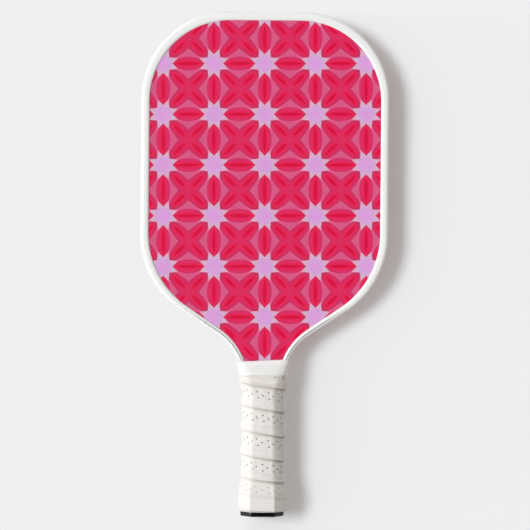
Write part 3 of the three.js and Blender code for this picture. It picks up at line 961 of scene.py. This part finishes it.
def make_guard():
    """The channel, swept round the blade. Its tails draw in where the collar covers them."""
    half = guard_profile()
    loop = [(share, offset, -depth) for share, offset, depth in half]
    loop += [(share, offset, depth) for share, offset, depth in half[-2:0:-1]]
    share, offset, depth = np.array(loop).T
    inward = inner_edge - outer_edge
    width = np.linalg.norm(inward, axis=1)
    inward /= width[:, None]
    under_collar = smooth(outer_edge[:, 1], COLLAR_LINE + TAIL_FADE, COLLAR_LINE - TAIL_FADE)
    reach = share[None, :] * width[:, None] + offset[None, :]
    outside = (share[None, :] == 0) & (np.abs(offset[None, :]) < GUARD_WALL)
    reach += np.where(outside, TAIL_STEP, 0) * under_collar[:, None]
    thinner = 1 - under_collar[:, None] * TAIL_SUNK / GUARD_FACE
    level = depth[None, :] * np.where(np.abs(depth)[None, :] > FILM_FACE, thinner, 1.0)
    place = outer_edge[:, None, :] + inward[:, None, :] * reach[..., None]
    points = np.stack([place[..., 0], level, place[..., 1]], axis=-1)
    faces = capped_faces(*points.shape[:2])
    guard = make_object("edge_guard_fine", points.reshape(-1, 3), faces, GUARD_VINYL, 40)
    tidy_normals(guard)
    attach(guard, "root")
    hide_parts("edge_guard")
    return guard


def tidy_normals(piece):
    """Turns every face of a closed mesh to look outwards."""
    shape = bmesh.new()
    shape.from_mesh(piece.data)
    bmesh.ops.recalc_face_normals(shape, faces=shape.faces)
    shape.to_mesh(piece.data)
    shape.free()


guard = make_guard()
print("guard", len(guard.data.vertices), "points")

# %% [markdown]
# ## Collar
# The collar is a short rubber sleeve, rolled down the handle and stretched over the
# throat. It sits a little askew, and its lower edge is drawn up in the middle of each
# face, because the rubber is stretched most at the corners. Its ribs are shallow
# grooves round all of it but the top. A modelled wave is enough for them, and the
# grooves are marked so that the rubber is coloured a little darker in them.

# %% Collar
COLLAR_FOOT_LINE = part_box("grip_collar")[0].z / MM - 0.9
COLLAR_FOOT = (19.2, 13.9, 3.2)
COLLAR_HEAD = (21.0, 9.3, 6.5)
COLLAR_ROOM = [
    (100, (18.1, 12.4, 12.2, 7.6)),
    (112.3, (18.1, 12.4, 12.2, 7.6)),
    (115.8, (18.1, 11.5, 12.96, 7.66)),
    (COLLAR_LINE, (19.5, 8.1, 18.7, 7.6)),
    (140, (19.5, 8.1, 18.7, 7.6)),
]
COLLAR_STEPS = (18, 30, 18, 48)
COLLAR_ROWS = 64
COLLAR_ROOM_ROUND = 1.2
COLLAR_FOOT_ROLL = (0.35, 0.6)
COLLAR_HEAD_ROLL = (0.45, 0.8)
COLLAR_RIB_PITCH = 1.75
COLLAR_RIB_DEPTH = 0.2
COLLAR_PLAIN = 3.2
COLLAR_SKEW = 0.05
COLLAR_ARCH = 1.2


def rounded_ring(half_width, half_depth, squareness, count, height):
    """Evenly spaced points round a soft rectangle, counter-clockwise from the front's middle."""
    angles = np.linspace(-math.pi / 2, 1.5 * math.pi, 2001)
    across = half_width * np.sign(np.cos(angles)) * np.abs(np.cos(angles)) ** (2 / squareness)
    deep = half_depth * np.sign(np.sin(angles)) * np.abs(np.sin(angles)) ** (2 / squareness)
    run = np.concatenate([[0], np.cumsum(np.hypot(np.diff(across), np.diff(deep)))])
    places = np.linspace(0, run[-1], count, endpoint=False)
    flat = np.column_stack([np.interp(places, run, across), np.interp(places, run, deep)])
    return lift(flat, height)


def rolled_edge(distance, depth, reach):
    """How far a rolled edge draws in, up to its depth, at a distance from the edge."""
    return depth * (1 - smooth(distance, 0, reach))


def make_collar():
    """The ribbed sleeve outside and the room for the handle inside, both skewed alike."""
    low, high = COLLAR_FOOT_LINE, COLLAR_LINE
    heights = np.linspace(low, high, COLLAR_ROWS)
    room = octagon_rings(heights[::-1], COLLAR_ROOM, COLLAR_ROOM_ROUND, COLLAR_STEPS)
    count = room.shape[1]
    sizes = [np.interp(heights, (low, high), pair) for pair in zip(COLLAR_FOOT, COLLAR_HEAD)]
    outside = [rounded_ring(*size, count, height) for *size, height in zip(*sizes, heights)]
    outside = np.array(outside)
    up = heights[:, None] - low
    from_top = high - heights[:, None]
    wave = 0.5 - 0.5 * np.cos(2 * math.pi * up / COLLAR_RIB_PITCH)
    ribbed = smooth(from_top, COLLAR_PLAIN - 0.5, COLLAR_PLAIN + 0.3) * smooth(up, 0.1, 0.5)
    groove = (wave**2) * ribbed
    rolled = rolled_edge(up, *COLLAR_FOOT_ROLL) + rolled_edge(from_top, *COLLAR_HEAD_ROLL)
    shift = -COLLAR_RIB_DEPTH * groove - rolled
    outside += outward(outside) * shift[..., None]

    rings = np.concatenate([outside, room])
    share = (rings[..., 2] - low) / (high - low)
    x, y = rings[..., 0], rings[..., 1]
    arch = COLLAR_ARCH * (1 - (x / COLLAR_FOOT[0]) ** 2) * (1 - share)
    rings[..., 2] += arch + COLLAR_SKEW * x * share
    marks = np.broadcast_to(groove, outside.shape[:2])
    marks = np.concatenate([marks, np.zeros(room.shape[:2])])
    faces = skin_faces(len(rings), rings.shape[1])
    points = rings.reshape(-1, 3)
    collar = make_object("grip_collar_fine", points, faces, COLLAR_RUBBER, 50, groove=marks)
    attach(collar, "root")
    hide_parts("grip_collar")
    return collar


collar = make_collar()
print("collar", len(collar.data.vertices), "points")

# %% [markdown]
# ## Grip wrap
# The strip starts at the butt and climbs the handle in overlapping turns. Each turn's
# lower edge lies over the turn below, so every seam is a soft step, and a second,
# fainter line shows where the covered edge ends underneath. The strip could be a long
# ribbon wound round the handle, but its turns are pressed together and nothing shows
# between them, so one skin with the relief of the winding is truer.
#
# The relief is worked out from two numbers. `winding` rises by one for every way round
# the handle and by one from each seam to the next up the handle. `strip` says how many
# turns from the butt the piece of strip at a place is, and gives its lower edge there.

# %% Winding
SEAM_HEIGHTS = [4.4, 16.4, 28.4, 46.1, 65.4, 84.9, 102.9, 121.0]
LOWEST_PITCH = 12.0
TOP_PITCH = 18.0
SEAM_COUNTS = np.arange(-2, len(SEAM_HEIGHTS) + 1)


def seam_height(turn):
    """The height of the seam for a number of windings, carried on past both ends."""
    first = SEAM_HEIGHTS[0] + LOWEST_PITCH * np.array([-2, -1])
    last = SEAM_HEIGHTS[-1] + TOP_PITCH
    return np.interp(turn, SEAM_COUNTS, [*first, *SEAM_HEIGHTS, last])


def winding(height, round_share):
    """How many windings lie below a place on the handle."""
    return np.interp(height, seam_height(SEAM_COUNTS), SEAM_COUNTS) + round_share


print("turns on the grip", round(float(winding(115.5, 0.0)), 1))

# %% Relief of the strip
HOLE_PITCH = 7.26
HOLES_PER_TURN = 15.5
HOLE_ROWS = [(4.4, 0.0), (6.8, 0.5), (9.2, -0.1)]
HOLE_RADIUS = 0.58
HOLE_DEPTH = 0.6
HOLE_WANDER = 0.3
FIRST_PUNCHED = 0.4
EDGE_HEIGHT = 0.75
OVERLAP_HEIGHT = 0.6
PILLOW_HEIGHT = 0.25
CREVICE_DEPTH = 0.5
FOLDED_FROM = 5.4
FOLD_HEIGHT = 0.7
CREASE = 3.7
WIND_EASE = 0.22
SHADED_SIDE = 0.15
SHADE_LEAST = 0.15


def hole_field(strip, below_next):
    """How deep a place lies in a punched hole, 0 to 1, for a place along the strip."""
    along = strip * HOLES_PER_TURN
    wander = np.random.default_rng(7).uniform(-HOLE_WANDER, HOLE_WANDER, (3, 512, 2))
    field = np.zeros(strip.shape)
    for row, (distance, offset) in enumerate(HOLE_ROWS):
        nearest = np.round(along - offset)
        jitter = wander[row, nearest.astype(int) % 512]
        aside = (along - offset - nearest) * HOLE_PITCH + jitter[..., 0]
        away = np.hypot(aside, below_next - distance + jitter[..., 1])
        field = np.maximum(field, smooth(away, HOLE_RADIUS * 1.25, HOLE_RADIUS * 0.45))
    return field * (strip > FIRST_PUNCHED)


def firmness(strip):
    """How strongly an edge shows. The first turns lie pressed together over the flare."""
    return 0.3 + 0.7 * smooth(strip, 1.15, 1.7)


def strip_relief(height, round_share):
    """The winding's relief in mm, and its masks, for places on the handle."""
    wound = round_share - WIND_EASE * np.sin(2 * math.pi * round_share) / (2 * math.pi)
    strip = np.floor(winding(height, wound)) - wound
    above = height - seam_height(strip)
    below_next = seam_height(strip + 1) - height
    firm = firmness(strip)
    firm_next = firmness(strip + 1)
    rise = smooth(above, -0.25, 1.15)
    edge = rise * EDGE_HEIGHT * smooth(above, 3.0, 1.1)
    overlap = rise * OVERLAP_HEIGHT * smooth(above, 6.7, 5.3)
    pillow = PILLOW_HEIGHT * np.sin(np.pi * np.clip(above / (above + below_next), 0, 1))
    crevice = smooth(below_next, 1.9, 0.0)
    relief = (edge + overlap) * firm + pillow - CREVICE_DEPTH * crevice * firm_next

    in_top = strip > FOLDED_FROM
    fold = above - CREASE
    raised = FOLD_HEIGHT * smooth(fold, -0.2, 0.5) * smooth(above, 9.5, 7.0)
    relief += np.where(in_top, raised, 0)
    cream = np.where(in_top, smooth(above, 0.0, 0.6) * smooth(fold, 0.5, -0.2), 0)

    # The painted shade at the seams and in the holes is strongest on the front right of the
    # handle, away from the key light, and fades towards the back left, where the holes are
    # also modelled shallower.
    facing = 0.5 + 0.5 * np.cos(2 * math.pi * (round_share - SHADED_SIDE))
    shaded_side = SHADE_LEAST + (1 - SHADE_LEAST) * facing**1.5
    opened = 0.45 + 0.55 * smooth(strip, 0.8, 2.0)
    # The holes' painted shade and their depth both fade towards the lit side of the handle.
    holes = hole_field(strip, below_next) * opened * (0.5 + 0.5 * shaded_side)
    relief -= HOLE_DEPTH * holes
    # Painted shade on both sides of each seam, under the overlapping edge and just above the seam.
    seam_shade = smooth(below_next, 2.6, 0.2) * firm_next + smooth(above, 1.2, 0.1) * 0.8 * firm
    seam_shade *= shaded_side
    return relief, holes, np.clip(seam_shade, 0, 1), cream


seam_relief = strip_relief(np.array([60.0]), np.array([0.1]))[0]
print("relief near a seam", round(float(seam_relief[0]), 2), "mm")

# %% Grip wrap
WRAP_BOX = [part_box("grip_wrap")[0].z / MM - 0.55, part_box("grip_wrap")[1].z / MM]
PALLET_SEAT = (14.57, 12.9, 8.02, 6.72)
SKIRT_SEAT = (16.95, 15.2, 9.12, 7.32)
SKIRT_TOP_SEAT = grow(PALLET_SEAT, 0.8)
WRAP_OUTSIDE = grow(PALLET_SEAT, 2.1)
FLARE_OUTSIDE = grow(WRAP_OUTSIDE, 19.05 - WRAP_OUTSIDE[0])
WRAP_SIZES = [
    (0, FLARE_OUTSIDE),
    (19.5, FLARE_OUTSIDE),
    (25.5, WRAP_OUTSIDE + 0.4 * (FLARE_OUTSIDE - WRAP_OUTSIDE)),
    (30, WRAP_OUTSIDE),
    (99, WRAP_OUTSIDE),
    (101, (18.1, 15.6, 9.6, 8)),
    (111.7, (18.1, 12.4, 12.2, 7.6)),
    (112.3, (17.45, 11.75, 11.93, 7.33)),
    (115.5, (17.35, 10.65, 12.63, 7.33)),
    (130, (17.35, 10.65, 12.63, 7.33)),
]
WRAP_ROOM = [
    (0, SKIRT_SEAT),
    (20, SKIRT_SEAT),
    (31.3, SKIRT_TOP_SEAT),
    (33, PALLET_SEAT),
    (99, PALLET_SEAT),
    (115.5, (15.9, 9.2, 12.5, 7.1)),
    (120, (15.9, 9.2, 12.5, 7.1)),
]
WRAP_STEPS = (40, 60, 40, 72)
WRAP_ROWS = 430
WRAP_ROOM_ROWS = 60
WRAP_CORNERS = [(0, 20, 30, 101, 111), (2.6, 2.6, 6.2, 6.2, 7.0)]
WRAP_BULGE = [(20, 30), (0.08, 0.22)]
WRAP_SUNK = 0.4
WRAP_TUCK = 1.7
WRAP_TUCK_RISE = 1.9
WAVES = 14
WAVE_HEIGHT = 0.09
RELIEF_TOP = 110.8


def wrinkles(height, round_share):
    """Slight hand-pulled unevenness, as a few long waves with set but irregular phases."""
    draw = np.random.default_rng(11)
    total = np.zeros(height.shape)
    for _ in range(WAVES):
        around, along = draw.integers(1, 7), draw.uniform(0.15, 1.1)
        phase = draw.uniform(0, 2 * math.pi)
        total += np.sin(2 * math.pi * around * round_share + along * height + phase)
    return total * WAVE_HEIGHT / math.sqrt(WAVES)


def make_wrap():
    """The wound strip as one skin, turned in at the butt and plain inside."""
    low, high = WRAP_BOX
    heights = np.linspace(low, high, WRAP_ROWS)
    radii = np.interp(heights, *WRAP_CORNERS)
    bulges = np.interp(heights, *WRAP_BULGE)
    outside = octagon_rings(heights, WRAP_SIZES, radii, WRAP_STEPS, 1.2, bulges)
    steps = np.linalg.norm(np.roll(outside, -1, axis=1) - outside, axis=2)
    around = np.cumsum(steps, axis=1) - steps
    round_share = around / steps.sum(axis=1)[:, None]
    height = outside[..., 2]
    relief, holes, seam_shade, cream = strip_relief(height, round_share)

    shown = smooth(height, RELIEF_TOP + 0.6, RELIEF_TOP - 0.6)
    turned_in = -WRAP_TUCK * (1 - smooth(height, low, low + WRAP_TUCK_RISE)) ** 1.5
    shift = (relief + wrinkles(height, round_share) - WRAP_SUNK) * shown + turned_in
    outside += outward(outside) * shift[..., None]

    room_heights = np.linspace(high, low, WRAP_ROOM_ROWS)
    room = octagon_rings(room_heights, WRAP_ROOM, 1.0, WRAP_STEPS)
    rings = np.concatenate([outside, room])
    blank = np.zeros(room.shape[:2])
    masks = {
        "hole": np.concatenate([holes * shown, blank]),
        "crevice": np.concatenate([seam_shade * shown, blank]),
        "cream": np.concatenate([cream * shown, blank]),
    }
    faces = skin_faces(len(rings), rings.shape[1])
    wrap = make_object("grip_wrap_fine", rings.reshape(-1, 3), faces, GRIP_LEATHER, 60, **masks)
    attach(wrap, "root")
    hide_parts("grip_wrap")
    return wrap


wrap = make_wrap()
print("wrap", len(wrap.data.vertices), "points")

# %% [markdown]
# ## Butt cap and disc
# The cap is moulded nylon. Its rim shows below the grip, and its skirt goes up inside
# the wrap and is stapled to the pallets. The rim and the round recess for the disc
# have small radii, which a mould always needs. The skirt's slots for the staples are
# cut with boxes taken from the staples themselves.

# %% Butt cap
CAP_SECTION = (17.2, 15.3, 9.2, 7.3)
SKIRT_SECTION = (16.65, 14.9, 9, 7.2)
CAP_STEPS = (14, 22, 14, 28)
SKIRT_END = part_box("butt_cap")[1].z / MM
STAPLE_CLEARANCE = 0.3
DISC_RECESS = 10.3
AXIS_RING = 0.02
CAP_INSIDE = 3.0
CAP_CORNER = 1.5

# Radius and height of the round rings, from the middle of the recess out to the rim.
RECESS_RINGS = [
    (AXIS_RING, 1.0), (5.0, 1.0), (DISC_RECESS - 0.15, 1.0),
    (DISC_RECESS, 0.85), (DISC_RECESS, 0.25), (DISC_RECESS + 0.25, 0.0),
]
# How far the rim draws in, at each height.
RIM_RINGS = [
    (1.1, 0.0), (0.55, 0.12), (0.2, 0.4), (0.03, 0.85), (0, 1.2), (0, 2.8),
    (0.06, 3.1), (0.25, 3.3), (0.5, 3.4),
]
# Section, corner radius and height, up the outside of the skirt and down the inside.
SKIRT_RINGS = [
    (SKIRT_SECTION, 1.4, 3.5),
    (SKIRT_SECTION, 1.4, 20.0),
    (grow(PALLET_SEAT, 0.5), 1.2, SKIRT_END),
    (PALLET_SEAT, 1.0, SKIRT_END),
    (PALLET_SEAT, 1.0, CAP_INSIDE),
]


def circle_ring(radius, height, count):
    """A round ring with as many points as an octagon ring, from the front's middle."""
    angles = -math.pi / 2 + 2 * math.pi * np.arange(count) / count
    return lift(np.column_stack([radius * np.cos(angles), radius * np.sin(angles)]), height)


def make_cap():
    """The cap from the middle of its end, round its rim, up the skirt and down the inside."""
    count = len(octagon_ring(CAP_SECTION, CAP_CORNER, CAP_STEPS))

    def octagon(section, radius, height):
        return lift(octagon_ring(section, radius, CAP_STEPS), height)

    rings = [circle_ring(radius, height, count) for radius, height in RECESS_RINGS]
    rings += [octagon(grow(CAP_SECTION, -sunk), CAP_CORNER, height) for sunk, height in RIM_RINGS]
    rings += [octagon(*skirt_ring) for skirt_ring in SKIRT_RINGS]
    rings.append(circle_ring(4.0, CAP_INSIDE, count))
    rings.append(circle_ring(AXIS_RING, CAP_INSIDE, count))
    rings = np.array(rings)
    faces = capped_faces(len(rings), count)
    cap = make_object("butt_cap_fine", rings.reshape(-1, 3), faces, CAP_NYLON, 35)
    tidy_normals(cap)
    for side in ("front", "back"):
        cut_slot(cap, "cap_staple_" + side)
    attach(cap, "root")
    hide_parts("butt_cap")
    return cap


def cut_slot(piece, node):
    """Cuts the room for a staple out of a piece, with a clearance all round."""
    low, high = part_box(node)
    room = Vector((STAPLE_CLEARANCE * MM,) * 3)
    low, high = low - room, high + room
    bpy.ops.mesh.primitive_cube_add(size=1, location=(low + high) / 2)
    cutter = bpy.context.object
    cutter.scale = high - low
    cut = piece.modifiers.new("slot", "BOOLEAN")
    cut.operation = "DIFFERENCE"
    cut.solver = "EXACT"
    cut.object = cutter
    bpy.context.view_layer.update()
    evaluated = piece.evaluated_get(bpy.context.evaluated_depsgraph_get())
    result = bpy.data.meshes.new_from_object(evaluated)
    result.name = piece.data.name
    piece.modifiers.remove(cut)
    piece.data = result
    bpy.data.objects.remove(cutter)


cap = make_cap()
print("cap", len(cap.data.vertices), "points")

# %% End disc
DISC_RADIUS = (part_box("end_disc")[1].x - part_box("end_disc")[0].x) / 2 / MM
DISC_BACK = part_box("end_disc")[1].z / MM
DISC_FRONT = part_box("end_disc")[0].z / MM
DISC_DOME = 0.18
DISC_STEP = 0.05
DISC_EDGE = 0.4
DISC_POINTS = 96


def make_disc():
    """A thin disc with a low dome, a rounded edge, and a shallow turned step near its rim."""
    dome = []
    for radius in np.linspace(AXIS_RING, DISC_RADIUS - 0.5, 24):
        fall = (radius / DISC_RADIUS) ** 2 * DISC_DOME
        step = DISC_STEP * smooth(radius, DISC_RADIUS - 2.0, DISC_RADIUS - 1.7)
        dome.append((radius, DISC_FRONT + fall + step))
    edge = []
    for angle in np.linspace(0.3, math.pi / 2, 5):
        radius = DISC_RADIUS - DISC_EDGE * (1 - math.sin(angle))
        edge.append((radius, DISC_FRONT + 0.62 - 0.35 * math.cos(angle)))
    back = [(DISC_RADIUS, DISC_BACK), (AXIS_RING, DISC_BACK)]
    profile = dome + edge + back
    rings = np.array([circle_ring(radius, height, DISC_POINTS) for radius, height in profile])
    faces = capped_faces(len(rings), DISC_POINTS)
    disc = make_object("end_disc_fine", rings.reshape(-1, 3), faces, DISC_FOIL, 35)
    tidy_normals(disc)
    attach(disc, "root")
    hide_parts("end_disc")
    return disc


disc = make_disc()
print("disc", len(disc.data.vertices), "points")

# %% [markdown]
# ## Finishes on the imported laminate
# The flat parts are exact as they are, so they keep their CAD meshes and only take a
# finish.

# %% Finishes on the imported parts
NODE_FINISHES = {
    "honeycomb_core": CORE_POLYMER,
    "core_veil_front": VEIL_TISSUE,
    "core_veil_back": VEIL_TISSUE,
    "face_sheet_front": GLASS_FIBRE,
    "face_sheet_back": GLASS_FIBRE,
    "graphic_film_front": FILM_FRONT,
    "graphic_film_back": FILM_BACK,
    "handle_pallet_front": FOAM,
    "handle_pallet_back": FOAM,
    "cap_staple_front": STEEL,
    "cap_staple_back": STEEL,
    "finishing_tape": TAPE_VINYL,
    "edge_guard": GUARD_VINYL,
    "grip_collar": COLLAR_RUBBER,
    "grip_wrap": GRIP_LEATHER,
    "butt_cap": CAP_NYLON,
    "end_disc": DISC_FOIL,
}


def dress_nodes():
    for name, material in NODE_FINISHES.items():
        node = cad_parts[name]
        for slot in node.material_slots:
            slot.material = material
        if not node.material_slots:
            print("no slot on", name)


dress_nodes()
print("dressed", len(NODE_FINISHES), "packed parts")
